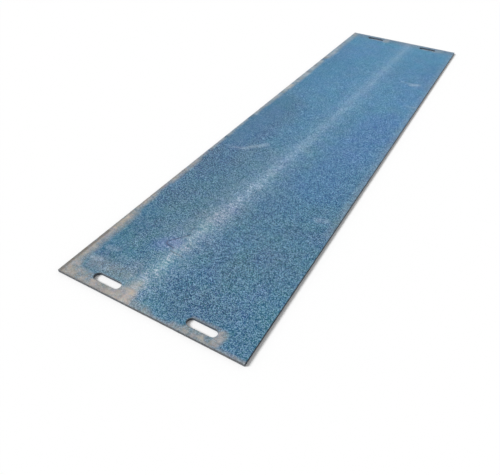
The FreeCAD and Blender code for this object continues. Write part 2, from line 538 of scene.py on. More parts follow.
@dataclass
class Mat:
    """The whole sheet, built as one skin and dressed in its finishes."""

    half_width: float
    half_length: float
    thickness: float
    name: str = "pressed_mat"
    cell: float = 20 * MM
    # The cells of the faces stop this far inside the edge
    border: float = 20 * MM
    slot_spacing: float = 515 * MM
    slot_end_distance: float = 65 * MM
    # How far the press has left the faces from flat
    upper_waviness: float = 0.35 * MM
    lower_waviness: float = 0.15 * MM
    # The shortest and the longest waves across and along, in metres, and how many are drawn
    wavelengths: tuple[tuple[float, float], ...] = ((0.25, 0.3), (0.9, 1.8))
    wave_count: int = 12
    wave_height: float = 0.8
    # Edges at which the skin turns by more than this, in degrees, are sharp
    sharp_from: float = 50.0
    # The finish of the two ends begins this far inside them
    end_depth: float = 3 * MM

    def slots(self) -> list[HandSlot]:
        """Lay out the four hand slots, two near each end.

        Returns:
            The slots.
        """
        x = self.slot_spacing / 2
        y = self.half_length - self.slot_end_distance
        centres = [(-x, -y), (x, -y), (-x, y), (x, y)]
        return [HandSlot(centre, self.thickness, seed=11 + i) for i, centre in enumerate(centres)]

    def lines(self, slots: Sequence[HandSlot]) -> tuple[np.ndarray, np.ndarray]:
        """Rule the lines of both faces, with one along each side of each slot's window.

        Args:
            slots: the hand slots.

        Returns:
            The lines across and the lines along.
        """
        half_sizes = (self.half_width - self.border, self.half_length - self.border)
        ruled = []
        for axis, half_size in enumerate(half_sizes):
            sides = {
                round(slot.centre[axis] + side * slot.window[axis], 6)
                for slot in slots
                for side in (-1, 1)
            }
            ruled.append(lines_between([-half_size, *sorted(sides), half_size], self.cell))
        return ruled[0], ruled[1]

    def build(self) -> bpy.types.Object:
        """Build the skin.

        Returns:
            The object, not yet dressed.
        """
        slots = self.slots()
        xs, ys = self.lines(slots)
        skin = Skin(self.name)
        open_cells = np.any([slot.covers(xs, ys) for slot in slots], axis=0)
        for z in (self.thickness, 0.0):
            skin.add_field(xs, ys, z, open_cells)
        for slot in slots:
            slot.add_to(skin, xs, ys)
        SawnEdge(self.half_width, self.half_length, self.thickness).add_to(skin, xs, ys)
        piece = skin.weld()
        self.warp(piece)
        piece.data.shade_smooth()
        piece.data.set_sharp_from_angle(angle=math.radians(self.sharp_from))
        return piece

    def warp(self, piece: bpy.types.Object) -> None:
        """Take the faces a little out of flat, always into the sheet.

        Formula: a hollow is the waviness times w, where w is a half plus the wave height times the
        mean of products of a cosine across and a cosine along, with drawn wavelengths and phases, kept
        between 0 and 1. The upper face goes down by its hollow, the underside goes up by its own, and
        the edge between them takes its share of both.

        Args:
            piece: the object whose mesh is warped.
        """
        mesh = piece.data
        flat = np.empty(len(mesh.vertices) * 3)
        mesh.vertices.foreach_get("co", flat)
        points = flat.reshape(-1, 3)
        share = points[:, 2] / self.thickness
        hollows = []
        for seed, depth in ((21, self.upper_waviness), (22, self.lower_waviness)):
            draw = np.random.default_rng(seed)
            wavelengths = draw.uniform(*self.wavelengths, (self.wave_count, 2))
            phases = draw.uniform(0, 2 * np.pi, (self.wave_count, 2))
            waves = np.cos(2 * np.pi * points[:, None, :2] / wavelengths + phases)
            swell = self.wave_height * waves.prod(axis=2).mean(axis=1)
            hollows.append(depth * np.clip(0.5 + swell, 0, 1))
        points[:, 2] += (1 - share) * hollows[1] - share * hollows[0]
        mesh.vertices.foreach_set("co", flat)
        mesh.update()

    def dress(self, piece: bpy.types.Object) -> None:
        """Give the skin its finishes, in the order of their slots.

        Args:
            piece: the object to dress.
        """
        makers = {
            Finish.PRESSED: PressedPolyethylene(),
            Finish.SAWN: SawnPolyethylene(end_from=self.half_length - self.end_depth),
            Finish.ROUTED: RoutedPolyethylene(),
        }
        for finish in Finish:
            piece.data.materials.append(makers[finish].build())


Node, Socket = bpy.types.Node, bpy.types.NodeSocket
# What an input can be linked to: an output, or a node, which stands for its first output in use
Link = Node | Socket
# The numbers of a Mix node's inputs where it mixes colours
SHARE, UNDER, OVER = 0, 6, 7
# The middle of a noise's three lights
MIDDLE_LIGHTS = (0.5, 0.5, 0.5)


@dataclass(frozen=True)
class Mark:
    """A soft stroke on the upper face, in millimetres from the sheet's near left corner."""

    start: tuple[float, float]
    end: tuple[float, float]
    half_width: float
    fade: float
    strength: float


@dataclass
class Nodes:
    """The shader nodes of a material or of the world, which are cleared first."""

    owner: bpy.types.Material | bpy.types.World

    def __post_init__(self) -> None:
        """Clear the owner's nodes."""
        self.owner.use_nodes = True
        self.owner.node_tree.nodes.clear()

    @cached_property
    def place(self) -> Socket:
        """The place on the sheet, in metres in the part's own frame."""
        return self.add("TexCoord").outputs["Object"]

    @cached_property
    def axes(self) -> tuple[Socket, ...]:
        """The three parts of the place: across the sheet, along it and up."""
        return tuple(self.add("SeparateXYZ", (self.place,)).outputs)

    def add(self, kind: str, inputs: Sequence[Any] | dict[Any, Any] = (), **settings: Any) -> Node:
        """Add a shader node, with its settings and its inputs.

        Args:
            kind: the node's type, without the word that all shader nodes begin with.
            inputs: what each input is given, in their order or by name or number. It is a link, a
                value, or a colour in hex.
            settings: the node's own settings.

        Returns:
            The node.
        """
        tree = self.owner.node_tree
        node = tree.nodes.new("ShaderNode" + kind)
        for name, value in settings.items():
            setattr(node, name, value)
        given = inputs if isinstance(inputs, dict) else dict(enumerate(inputs))
        for name, value in given.items():
            if isinstance(value, Node):
                value = next(output for output in value.outputs if output.enabled)
            if isinstance(value, Socket):
                tree.links.new(value, node.inputs[name])
            else:
                node.inputs[name].default_value = linear(value) if isinstance(value, str) else value
        return node

    def stroke(self, mark: Mark, place: Link) -> Node:
        """Draw one mark.

        Formula: with p the place from the start and d the stroke's own vector, the share along it is
        p . d / d . d kept between 0 and 1. The mask falls smoothly from the strength to 0 as the
        distance of p from that share of d goes from the half width to the fade beyond it.

        Args:
            mark: the mark.
            place: the place on the face, in the mark's millimetres, with a height of zero.

        Returns:
            The mask.
        """
        start = Vector((*mark.start, 0))
        run = Vector((*mark.end, 0)) - start
        offset = self.add("VectorMath", (place, start), operation="SUBTRACT")
        along = self.add("VectorMath", (offset, run / run.length_squared), operation="DOT_PRODUCT")
        share = self.add("Clamp", (along,))
        foot = self.add("VectorMath", {0: run, "Scale": share}, operation="SCALE")
        away = self.add("VectorMath", (offset, foot), operation="DISTANCE")
        reach = (away, mark.half_width, mark.half_width + mark.fade, mark.strength, 0.0)
        return self.add("MapRange", reach, interpolation_type="SMOOTHSTEP")

    def draw(self, marks: Sequence[Mark], place: Link) -> Node:
        """Draw marks over one another: each point takes the strongest of their masks.

        Args:
            marks: the marks.
            place: the place on the face, in the marks' millimetres, with a height of zero.

        Returns:
            The mask of them all.
        """
        total = self.stroke(marks[0], place)
        for mark in marks[1:]:
            total = self.add("Math", (total, self.stroke(mark, place)), operation="MAXIMUM")
        return total

    def lay_over(
        self, colour: Link | str, layers: Sequence[tuple[Sequence[Link | float], Link | str]]
    ) -> Link:
        """Lay colours over another, one after the other.

        Args:
            colour: the colour below.
            layers: for each layer the factors of its mask, and its colour.

        Returns:
            The colour with all layers.
        """
        for factors, over in layers:
            mask = factors[0]
            for factor in factors[1:]:
                mask = self.add("Math", (mask, factor), operation="MULTIPLY")
            mixed = {SHARE: mask, UNDER: colour, OVER: over}
            colour = self.add("Mix", mixed, data_type="RGBA", clamp_factor=True)
        return colour


def strokes(*rows: tuple[float, ...]) -> list[Mark]:
    """Write marks as rows: start X, start Y, end X, end Y, half width, fade and strength."""
    return [Mark(row[:2], row[2:4], *row[4:]) for row in rows]


# Pale dust, trodden and blown on, lies in the grain along the left side, round the near slots and
# thinly along the other sides. Each row of numbers is a mark, here and below
DUST = strokes(
    (0, 0, 0, 500, 14, 64, 1.0), (0, 520, 0, 700, 4, 46, 0.9), (0, 700, 0, 860, 0, 40, 0.85),
    (0, 860, 0, 1130, 4, 48, 0.95), (0, 1130, 0, 1230, 2, 34, 0.8), (0, 1290, 0, 1440, 2, 34, 0.75),
    (0, 1500, 0, 1560, 2, 34, 0.8), (0, 1600, 0, 1760, 2, 26, 0.68), (0, 1820, 0, 1860, 0, 26, 0.5),
    (0, 1880, 0, 2010, 6, 34, 0.82), (0, 2030, 0, 2190, 10, 34, 0.8), (0, 2190, 0, 2350, 14, 38, 0.84),
    (0, 2390, 0, 2470, 14, 44, 1.1), (0, 2500, 0, 2560, 14, 48, 0.8), (0, 2570, 0, 2780, 16, 50, 0.86),
    (0, 2800, 0, 3080, 14, 46, 0.84), (0, 3120, 0, 3170, 0, 36, 0.5), (0, 3200, 0, 3460, 14, 66, 0.8),
    (0, 3480, 0, 3720, 14, 60, 0.72), (0, 3740, 0, 4000, 16, 62, 0.76), (30, 0, 20, 60, 20, 60, 0.9),
    (60, 10, 200, 0, 8, 44, 0.85), (180, 5, 390, 5, 16, 34, 0.95), (175, 27, 335, 30, 8, 18, 0.95),
    (90, 44, 150, 38, 10, 36, 0.66), (340, 25, 365, 50, 20, 50, 1.0), (350, 60, 372, 110, 2, 60, 0.65),
    (400, 5, 500, 0, 4, 50, 0.5), (500, 0, 1000, 0, 2, 22, 0.5), (650, 0, 830, 0, 10, 34, 0.6),
    (690, 4, 780, 6, 12, 24, 0.85), (700, 28, 830, 30, 4, 20, 0.6), (843, 25, 852, 72, 12, 26, 0.75),
    (700, 92, 830, 92, 2, 14, 0.35), (110, 125, 290, 135, 10, 60, 0.27),
    (350, 3910, 352, 3960, 8, 40, 0.6), (840, 3910, 870, 3950, 6, 50, 0.35),
    (0, 4000, 1000, 4000, 2, 36, 0.4), (1000, 900, 1000, 4000, 0, 60, 0.25),
)
# A darker line along the left arris and a little way along the near edge, with short dark ticks off it
LEFT_ARRIS_DARKENING = strokes(
    (8, 0, 8, 330, 5, 10, 0.95), (6, 330, 6, 1000, 0, 9, 0.45), (10, 0, 300, 2, 0, 12, 0.3),
    (4, 1270, 20, 1275, 4, 20, 0.35), (4, 1465, 20, 1475, 4, 20, 0.4), (4, 1785, 16, 1835, 4, 20, 0.3),
    (4, 2305, 10, 2310, 4, 22, 0.5), (4, 2590, 10, 2600, 6, 22, 0.55), (4, 2790, 24, 2795, 4, 24, 0.5),
    (4, 2955, 10, 2970, 4, 24, 0.55), (4, 3115, 16, 3180, 6, 24, 0.5), (4, 3550, 10, 3560, 4, 26, 0.3),
    (4, 3640, 10, 3660, 4, 26, 0.35), (4, 3900, 20, 3955, 4, 28, 0.3),
)
# Light scuffs from loads that were dragged over the sheet
SCUFFS = strokes(
    (75, 146, 118, 157, 0, 24, 0.55), (95, 240, 150, 248, 0, 26, 0.4),
    (190, 212, 290, 226, 0, 34, 0.15), (104, 1379, 185, 1400, 0, 20, 0.35),
    (185, 1400, 222, 1448, 0, 26, 0.6), (225, 1455, 262, 1490, 0, 26, 0.55),
    (262, 1490, 290, 1522, 0, 30, 0.55), (890, 972, 932, 990, 0, 34, 0.45),
    (8, 1860, 24, 1865, 2, 20, 0.45), (6, 2235, 8, 2240, 4, 22, 0.6), (6, 2390, 8, 2450, 8, 20, 0.9),
    (12, 2550, 30, 2560, 4, 22, 0.65), (30, 2700, 34, 2765, 4, 22, 0.6),
    (6, 2750, 8, 2755, 4, 22, 0.65), (26, 2870, 30, 2880, 4, 24, 0.55),
    (8, 3065, 12, 3080, 6, 24, 0.65), (30, 3300, 38, 3350, 6, 26, 0.6), (8, 3400, 12, 3440, 4, 26, 0.4),
    (925, 2600, 968, 2612, 0, 40, 0.22), (850, 3015, 890, 3040, 4, 36, 0.75),
    (760, 3040, 850, 3035, 0, 24, 0.3),
)
# Slow clouds that the press has drawn into the blue
TEAL_CLOUDS = strokes(
    (740, 1080, 900, 1450, 60, 200, 0.42), (140, 1080, 150, 1300, 10, 90, 0.2),
    (110, 2500, 160, 3200, 40, 200, 0.3), (640, 3100, 680, 3480, 10, 110, 0.3),
    (230, 3060, 240, 3100, 10, 110, 0.25),
)
# Clouds of a clearer blue
CLEAR_CLOUDS = strokes(
    (760, 1200, 850, 2300, 60, 130, 0.27), (880, 2700, 930, 3500, 20, 140, 0.14),
)
# Clouds of a violet blue
VIOLET_CLOUDS = strokes(
    (298, 400, 352, 430, 10, 70, 0.36), (860, 1700, 880, 2200, 30, 200, 0.08),
    (110, 1450, 140, 1950, 10, 160, 0.14), (150, 3350, 300, 3700, 20, 220, 0.12),
)
# Clouds of a brownish grey, where a thin film of old dust is trodden in
BROWN_CLOUDS = strokes(
    (270, 460, 380, 740, 10, 130, 0.2), (200, 640, 180, 800, 20, 90, 0.12),
    (300, 850, 340, 1450, 10, 130, 0.15), (240, 1240, 260, 1440, 10, 100, 0.15),
    (600, 1020, 640, 1120, 10, 100, 0.1), (120, 120, 280, 190, 20, 80, 0.16),
    (0, 3980, 1000, 3980, 20, 110, 0.34),
)
# Clouds of a deeper blue
DEEP_CLOUDS = strokes(
    (95, 1150, 105, 2150, 60, 180, 0.42), (610, 120, 760, 160, 20, 120, 0.26),
    (120, 170, 140, 560, 10, 110, 0.25), (110, 380, 120, 880, 20, 90, 0.2),
    (680, 400, 830, 600, 30, 110, 0.16), (930, 3050, 950, 3550, 30, 120, 0.16),
    (80, 2300, 80, 3600, 30, 100, 0.12), (60, 3990, 1000, 3990, 20, 90, 0.3),
)
# Places where the press has run the chips together, so that their speckle is fainter
CALM_PLACES = strokes(
    (75, 180, 85, 560, 35, 70, 0.36), (60, 1500, 70, 2150, 50, 110, 0.5),
    (60, 2600, 200, 3300, 60, 160, 0.3), (0, 3650, 1000, 3650, 200, 320, 0.36),
    (560, 0, 1000, 40, 60, 130, 0.18), (985, 0, 960, 300, 40, 70, 0.14),
    (350, 110, 440, 340, 20, 90, 0.28), (250, 370, 270, 480, 30, 60, 0.2),
    (350, 400, 400, 600, 30, 60, 0.24), (110, 205, 180, 225, 35, 60, 0.3),
    (75, 85, 120, 90, 20, 40, 0.4),
)
# Thin scratches that go through the pressed face into darker plastic
SCRATCHES = strokes(
    (380, 521, 339, 458, 0, 7, 0.95), (339, 458, 312, 427, 0, 7, 0.95), (312, 427, 318, 408, 0, 7, 1.0),
    (318, 408, 365, 397, 0, 8, 1.0), (365, 376, 443, 367, 0, 7, 0.9), (366, 581, 364, 540, 0, 7, 0.6),
    (470, 900, 500, 1120, 0, 5, 0.35),
)


@dataclass(frozen=True, kw_only=True)
class Polyethylene:
    """What the sheet's finishes share: it is recycled high density polyethylene (HDPE)."""

    relief: float
    ior: float = 1.54

    def shade(
        self, nodes: Nodes, colour: Link, roughness: Link | float, height: Link
    ) -> bpy.types.Material:
        """Give the material its shader.

        Args:
            nodes: the material's nodes.
            colour: its colour.
            roughness: its roughness.
            height: the height of its relief.

        Returns:
            The material.
        """
        bump = nodes.add("Bump", {"Height": height, "Distance": self.relief, "Strength": 1.0})
        surface = {"Base Color": colour, "Roughness": roughness, "IOR": self.ior, "Normal": bump}
        nodes.add("OutputMaterial", (nodes.add("BsdfPrincipled", surface),))
        return nodes.owner


@dataclass(frozen=True, kw_only=True)
class PressedPolyethylene(Polyethylene):
    """Recycled HDPE, pressed between grained plates.

    It is a dull, waxy plastic of chips in many blues that the press has run together, so the eye sees a
    fine pale speckle on a darker blue, with slow clouds of teal and violet, and dust in the grain. Its
    blue is mostly a painted reflection of the sky on a darker plastic.
    A spread gives two values of a noise or of a place, and then what they become.
    """

    name: str = "pressed_recycled_hdpe"
    # These blues are painted sky reflection on a darker plastic; the far one is paler and bluer, a painted
    # reflection where the far end is seen at a grazing angle
    near_blue: str = "#4b7b96"
    far_blue: str = "#4e89ae"
    # The light by which the palest and the darkest chip differ
    chip_span: str = "#95abbc"
    rib: str = "#1d3c55"
    teal: str = "#3b7b9f"
    violet: str = "#687bbc"
    brown: str = "#808890"
    deep: str = "#406480"
    clear: str = "#4478b6"
    near_pale_band: str = "#b0c7d6"
    far_pale_band: str = "#a0c2dc"
    near_dust: str = "#c1b5a9"
    far_dust: str = "#b9b9b5"
    arris_darkening: str = "#67625c"
    scuff: str = "#b8ccdf"
    scratch: str = "#232c46"
    # Half the sheet's thickness, which parts the upper face from the underside
    middle: float = 7.5 * MM
    # The near left corner's distance from the middle of the sheet, across and along, in millimetres
    corner: tuple[float, float] = (500.0, 2000.0)
    # The chips are 3 to 10 mm across in the real sheet
    flake: float = 9 * MM
    chip: float = 3.0 * MM
    # How much of a place's tone comes from its chip, and the rest comes from its flake
    chip_share: float = 0.88
    tone_spread: tuple[float, ...] = (0.3, 1.0, -0.34, 0.66)
    # How far a chip's green and blue light stray from its neighbours', and the least light of any
    chip_stray: tuple[float, float, float] = (0.0, 0.05, 0.09)
    least_light: float = 0.004
    # How far the press has pushed the chips' outlines about, and the size of the pushes
    squeeze: float = 4 * MM
    squeeze_size: float = 5 * MM
    # The far end is painted paler and bluer as a reflection of the sky, and clouds of this size change
    # that by up to this share
    cloud: float = 260 * MM
    cloud_share: float = 0.3
    far_sheen_spread: tuple[float, ...] = (-1.2, 0.6, -0.15, 0.85)
    # Where along the sheet the colours of dust and of the pale band go over from their near to their far
    # ones; the far ones are cooler, as painted sky reflection like the far blue
    near_to_far: tuple[float, float] = (-1.5, -0.5)
    # How far the marks' outlines are torn about, in millimetres, and the size of the tears
    tear: float = 18.0
    tear_size: float = 40 * MM
    # The grain takes marks in patches and drifts of these sizes, and at the least so much of them
    patch: float = 12 * MM
    patch_least: float = 0.1
    drift: float = 28 * MM
    drift_least: float = 0.42
    uneven_spread: tuple[float, float] = (0.35, 0.65)
    # Size of the small changes of hue, and how far each of the three lights strays in them
    hue_size: float = 110 * MM
    hue_stray: tuple[float, float, float] = (0.06, 0.07, 0.11)
    dust_hue_size: float = 35 * MM
    dust_hue_stray: tuple[float, float, float] = (0.12, 0.12, 0.15)
    # The dust lies in clumps of this size, and where it is damp it keeps this share of its light
    clump: float = 30 * MM
    damp_light: float = 0.7
    # Pitch of the faint ribs that the press plates leave across the sheet
    rib_pitch: float = 21 * MM
    # Size of the ribs' wander, and how far it turns their wave at the most, in radians
    rib_wander: float = 90 * MM
    rib_turn: float = 9.0
    # The part of a rib's wave that is seen
    rib_crest: tuple[float, float] = (0.2, 1.0)
    # How dark a rib is on plain plastic and in the pale band
    rib_depth: float = 0.03
    banded_rib_depth: float = 0.17
    # The pale band comes in bars of about this length and width
    bar_length: float = 45 * MM
    bar_width: float = 13 * MM
    bar_spread: tuple[float, float, float] = (0.38, 0.62, 0.18)
    # The pale band's middle line, in metres, as x = c0 + y (c1 + y c2)
    pale_band_line: tuple[float, float, float] = (0.0162, 0.0517, -0.0112)
    # How far its core and its halo reach to each side, and the share of each
    pale_band_core: tuple[float, float] = (52 * MM, 0.56)
    pale_band_halo: tuple[float, float] = (150 * MM, 0.44)
    pale_band_spread: tuple[float, ...] = (-1.4, 0.0, 0.78, 0.47)
    # How much of the chips' contrast the pale band keeps
    kept_speckle: float = 0.55
    roughness: float = 0.55
    dusty_roughness: float = 0.85
    relief: float = 0.15 * MM

    def build(self) -> bpy.types.Material:
        """Make the material.

        Returns:
            The material, for the two faces of the sheet.
        """
        nodes = Nodes(bpy.data.materials.new(self.name))
        _, _, z = nodes.axes
        is_upper = nodes.add("Math", (z, self.middle), operation="GREATER_THAN")
        torn = self.torn_place(nodes)
        tone, hue, grain = self.chips(nodes)
        boldness = nodes.add("Math", (1.0, nodes.draw(CALM_PLACES, torn)), operation="SUBTRACT")
        tone = nodes.add("Math", (tone, boldness), operation="MULTIPLY")
        pale_band = self.pale_band_mask(nodes)
        dust = nodes.draw(DUST, torn)
        patches = self.uneven(nodes, self.patch, self.patch_least)
        drifts = self.uneven(nodes, self.drift, self.drift_least)

        plain = self.base_colour(nodes)
        colour = self.stray(nodes, plain, self.hue_size, self.hue_stray)
        clouds = (
            (DEEP_CLOUDS, self.deep),
            (CLEAR_CLOUDS, self.clear),
            (TEAL_CLOUDS, self.teal),
            (BROWN_CLOUDS, self.brown),
            (VIOLET_CLOUDS, self.violet),
        )
        hazes = [((nodes.draw(marks, torn), is_upper), over) for marks, over in clouds]
        colour = nodes.lay_over(colour, hazes)
        speckled = (tone, linear(self.chip_span)[:3], colour)
        speckled = nodes.add("VectorMath", speckled, operation="MULTIPLY_ADD")
        varied = nodes.add("VectorMath", (hue, self.chip_stray, speckled), operation="MULTIPLY_ADD")
        least = (self.least_light,) * 3
        colour = nodes.add("VectorMath", (varied, least), operation="MAXIMUM")
        layers = (
            ((pale_band, self.bars(nodes)), self.pale_band_colour(nodes, colour, plain)),
            ((self.ribs(nodes, pale_band),), self.rib),
            ((nodes.draw(SCUFFS, torn), patches), self.scuff),
            ((dust, drifts), self.dusty(nodes)),
            ((nodes.draw(LEFT_ARRIS_DARKENING, torn), drifts), self.arris_darkening),
            ((nodes.draw(SCRATCHES, torn), drifts), self.scratch),
        )
        colour = nodes.lay_over(colour, [((*mask, is_upper), over) for mask, over in layers])
        dulled = {"Value": dust, "To Min": self.roughness, "To Max": self.dusty_roughness}
        return self.shade(nodes, colour, nodes.add("MapRange", dulled), grain)

    def stray(
        self, nodes: Nodes, colour: Link, size: float, reach: tuple[float, float, float]
    ) -> Node:
        """Let a colour stray in hue from place to place.

        Formula: each of the three lights is its own plus its reach times a slow noise about zero.

        Args:
            nodes: the material's nodes.
            colour: the colour to stray from.
            size: the size of the changes.
            reach: how far each light strays where its noise is one.

        Returns:
            The colour.
        """
        noise = {"Vector": nodes.place, "Scale": 1 / size, "Detail": 3.0, "Roughness": 0.6}
        lights = nodes.add("TexNoise", noise).outputs["Color"]
        about_zero = nodes.add("VectorMath", (lights, MIDDLE_LIGHTS), operation="SUBTRACT")
        return nodes.add("VectorMath", (about_zero, reach, colour), operation="MULTIPLY_ADD")

    def chips(self, nodes: Nodes) -> tuple[Node, Node, Node]:
        """Scatter small chips and larger flakes, squeezed out of shape by the press.

        Formula: each cell about a scattered point is a chip or a flake with a tone drawn for it, and
        the tone of a place is a mix of its flake's and its chip's, so curved that few are pale.
        The grain is one less the distance from the middle of the chip, so each chip stands up a little.

        Args:
            nodes: the material's nodes.

        Returns:
            The tone about zero, the hue as three lights about zero, and the grain's height.
        """
        pushes = {"Vector": nodes.place, "Scale": 1 / self.squeeze_size, "Detail": 1.0}
        pushes = nodes.add("TexNoise", pushes).outputs["Color"]
        squeezed = (pushes, (self.squeeze,) * 3, nodes.place)
        squeezed = nodes.add("VectorMath", squeezed, operation="MULTIPLY_ADD")
        tones = {SHARE: self.chip_share}
        for socket, size in ((2, self.flake), (3, self.chip)):
            cells = nodes.add("TexVoronoi", {"Vector": squeezed, "Scale": 1 / size})
            tones[socket] = nodes.add("SeparateColor", (cells.outputs["Color"],))
        mixed = nodes.add("Mix", tones)
        tone = nodes.add("MapRange", (mixed, *self.tone_spread), interpolation_type="SMOOTHSTEP")
        hue = nodes.add("VectorMath", (cells.outputs["Color"], MIDDLE_LIGHTS), operation="SUBTRACT")
        return tone, hue, nodes.add("Math", (1.0, cells.outputs["Distance"]), operation="SUBTRACT")

    def base_colour(self, nodes: Nodes) -> Link:
        """Colour the plastic: a blue, painted paler and bluer towards the far end as a reflection of the
        sky, and clouded a little.

        Args:
            nodes: the material's nodes.

        Returns:
            The colour.
        """
        cloudy = {"Vector": nodes.place, "Scale": 1 / self.cloud, "Detail": 3.0, "Roughness": 0.55}
        clouds = nodes.add("TexNoise", cloudy)
        _, y, _ = nodes.axes
        far_sheen = nodes.add("MapRange", (y, *self.far_sheen_spread))
        share = nodes.add("Math", (clouds, self.cloud_share, far_sheen), operation="MULTIPLY_ADD")
        return nodes.lay_over(self.near_blue, [((share,), self.far_blue)])

    def uneven(self, nodes: Nodes, size: float, least: float) -> Node:
        """Give a density between the least and 1, patchy because the grain takes marks unevenly.

        Args:
            nodes: the material's nodes.
            size: the size of the patches.
            least: the density where the grain takes the least.

        Returns:
            The density.
        """
        noise = {"Vector": nodes.place, "Scale": 1 / size, "Detail": 4.0, "Roughness": 0.7}
        return nodes.add("MapRange", (nodes.add("TexNoise", noise), *self.uneven_spread, least))

    def pale_band_mask(self, nodes: Nodes) -> Node:
        """Draw the pale band along the sheet.

        Formula: with d the distance from the middle line x = c0 + y (c1 + y c2), the mask is the sum
        of a core and a halo that both fall smoothly from their share at d = 0 to 0 at their reach.
        Its strength falls along the sheet.

        Args:
            nodes: the material's nodes.

        Returns:
            The mask.
        """
        x, y, _ = nodes.axes
        c0, c1, c2 = self.pale_band_line
        slope = nodes.add("Math", (y, c2, c1), operation="MULTIPLY_ADD")
        middle = nodes.add("Math", (y, slope, c0), operation="MULTIPLY_ADD")
        off = nodes.add("Math", (x, middle), operation="SUBTRACT")
        distance = nodes.add("Math", (off,), operation="ABSOLUTE")
        parts = [
            nodes.add("MapRange", (distance, 0.0, reach, share, 0.0), interpolation_type="SMOOTHSTEP")
            for reach, share in (self.pale_band_core, self.pale_band_halo)
        ]
        whole = nodes.add("Math", parts, operation="ADD")
        strength = nodes.add("MapRange", (y, *self.pale_band_spread), interpolation_type="SMOOTHSTEP")
        return nodes.add("Math", (whole, strength), operation="MULTIPLY")

    def bars(self, nodes: Nodes) -> Node:
        """Give the density of the pale band, which comes in short bars across the sheet.

        Formula: a noise that is drawn out across the sheet, with its middle part spread out.

        Args:
            nodes: the material's nodes.

        Returns:
            The density.
        """
        drawn_out = (1 / self.bar_length, 1 / self.bar_width, 1.0)
        across = nodes.add("Mapping", {"Vector": nodes.place, "Scale": drawn_out})
        noise = {"Vector": across, "Scale": 1.0, "Detail": 4.0, "Roughness": 0.7}
        return nodes.add("MapRange", (nodes.add("TexNoise", noise), *self.bar_spread))

    def along_sheet(self, nodes: Nodes, near: str, far: str) -> Link:
        """Give a colour that goes over from one to another beyond the near end.

        Args:
            nodes: the material's nodes.
            near: the colour at the near end.
            far: the colour of the rest.

        Returns:
            The colour.
        """
        _, y, _ = nodes.axes
        share = nodes.add("MapRange", (y, *self.near_to_far))
        return nodes.lay_over(near, [((share,), far)])

    def dusty(self, nodes: Nodes) -> Node:
        """Colour the dust, which strays in hue and is darker where it is damp.

        Args:
            nodes: the material's nodes.

        Returns:
            The colour.
        """
        dry = self.along_sheet(nodes, self.near_dust, self.far_dust)
        dry = self.stray(nodes, dry, self.dust_hue_size, self.dust_hue_stray)
        light = self.uneven(nodes, self.clump, self.damp_light)
        return nodes.add("VectorMath", (dry, light), operation="MULTIPLY")

    def pale_band_colour(self, nodes: Nodes, speckled: Link, plain: Link) -> Link:
        """Colour the pale band, where the chips are paler but still show.

        Formula: the speckled colour times the pale colour over the plain one keeps all of the speckle, and
        the pale colour alone keeps none of it. The colour is a mix of the two.

        Args:
            nodes: the material's nodes.
            speckled: the colour of the chips.
            plain: the colour of the sheet without its chips and clouds.

        Returns:
            The colour.
        """
        pale_tint = self.along_sheet(nodes, self.near_pale_band, self.far_pale_band)
        gain = nodes.add("VectorMath", (pale_tint, plain), operation="DIVIDE")
        chips = nodes.add("VectorMath", (speckled, gain), operation="MULTIPLY")
        return nodes.lay_over(pale_tint, [((self.kept_speckle,), chips)])

    def ribs(self, nodes: Nodes, pale_band: Link) -> Node:
        """Draw the fine dark ribs across the sheet, which show most in the pale band.

        Formula: the crest of sin(2 pi y / pitch + turn n), where n is a slow noise, times a depth that
        grows with the pale band.

        Args:
            nodes: the material's nodes.
            pale_band: the mask of the pale band.

        Returns:
            The mask.
        """
        _, y, _ = nodes.axes
        noise = {"Vector": nodes.place, "Scale": 1 / self.rib_wander, "Detail": 2.0}
        wander = nodes.add("TexNoise", noise)
        phase = nodes.add("Math", (y, 2 * math.pi / self.rib_pitch), operation="MULTIPLY")
        phase = nodes.add("Math", (wander, self.rib_turn, phase), operation="MULTIPLY_ADD")
        wave = nodes.add("Math", (phase,), operation="SINE")
        rib = nodes.add("MapRange", (wave, *self.rib_crest), interpolation_type="SMOOTHSTEP")
        depth = (pale_band, self.banded_rib_depth, self.rib_depth)
        depth = nodes.add("Math", depth, operation="MULTIPLY_ADD")
        return nodes.add("Math", (rib, depth), operation="MULTIPLY")

    def torn_place(self, nodes: Nodes) -> Node:
        """Give the place in millimetres from the near left corner, torn about by a noise.

        Args:
            nodes: the material's nodes.

        Returns:
            The torn place, with a height of zero.
        """
        tears = {"Vector": nodes.place, "Scale": 1 / self.tear_size, "Detail": 5.0, "Roughness": 0.7}
        noise = nodes.add("TexNoise", tears).outputs["Color"]
        shift = (*(distance - self.tear / 2 for distance in self.corner), 0)
        even = nodes.add("VectorMath", (nodes.place, (1 / MM, 1 / MM, 0), shift), operation="MULTIPLY_ADD")
        torn = (noise, (self.tear, self.tear, 0), even)
        return nodes.add("VectorMath", torn, operation="MULTIPLY_ADD")


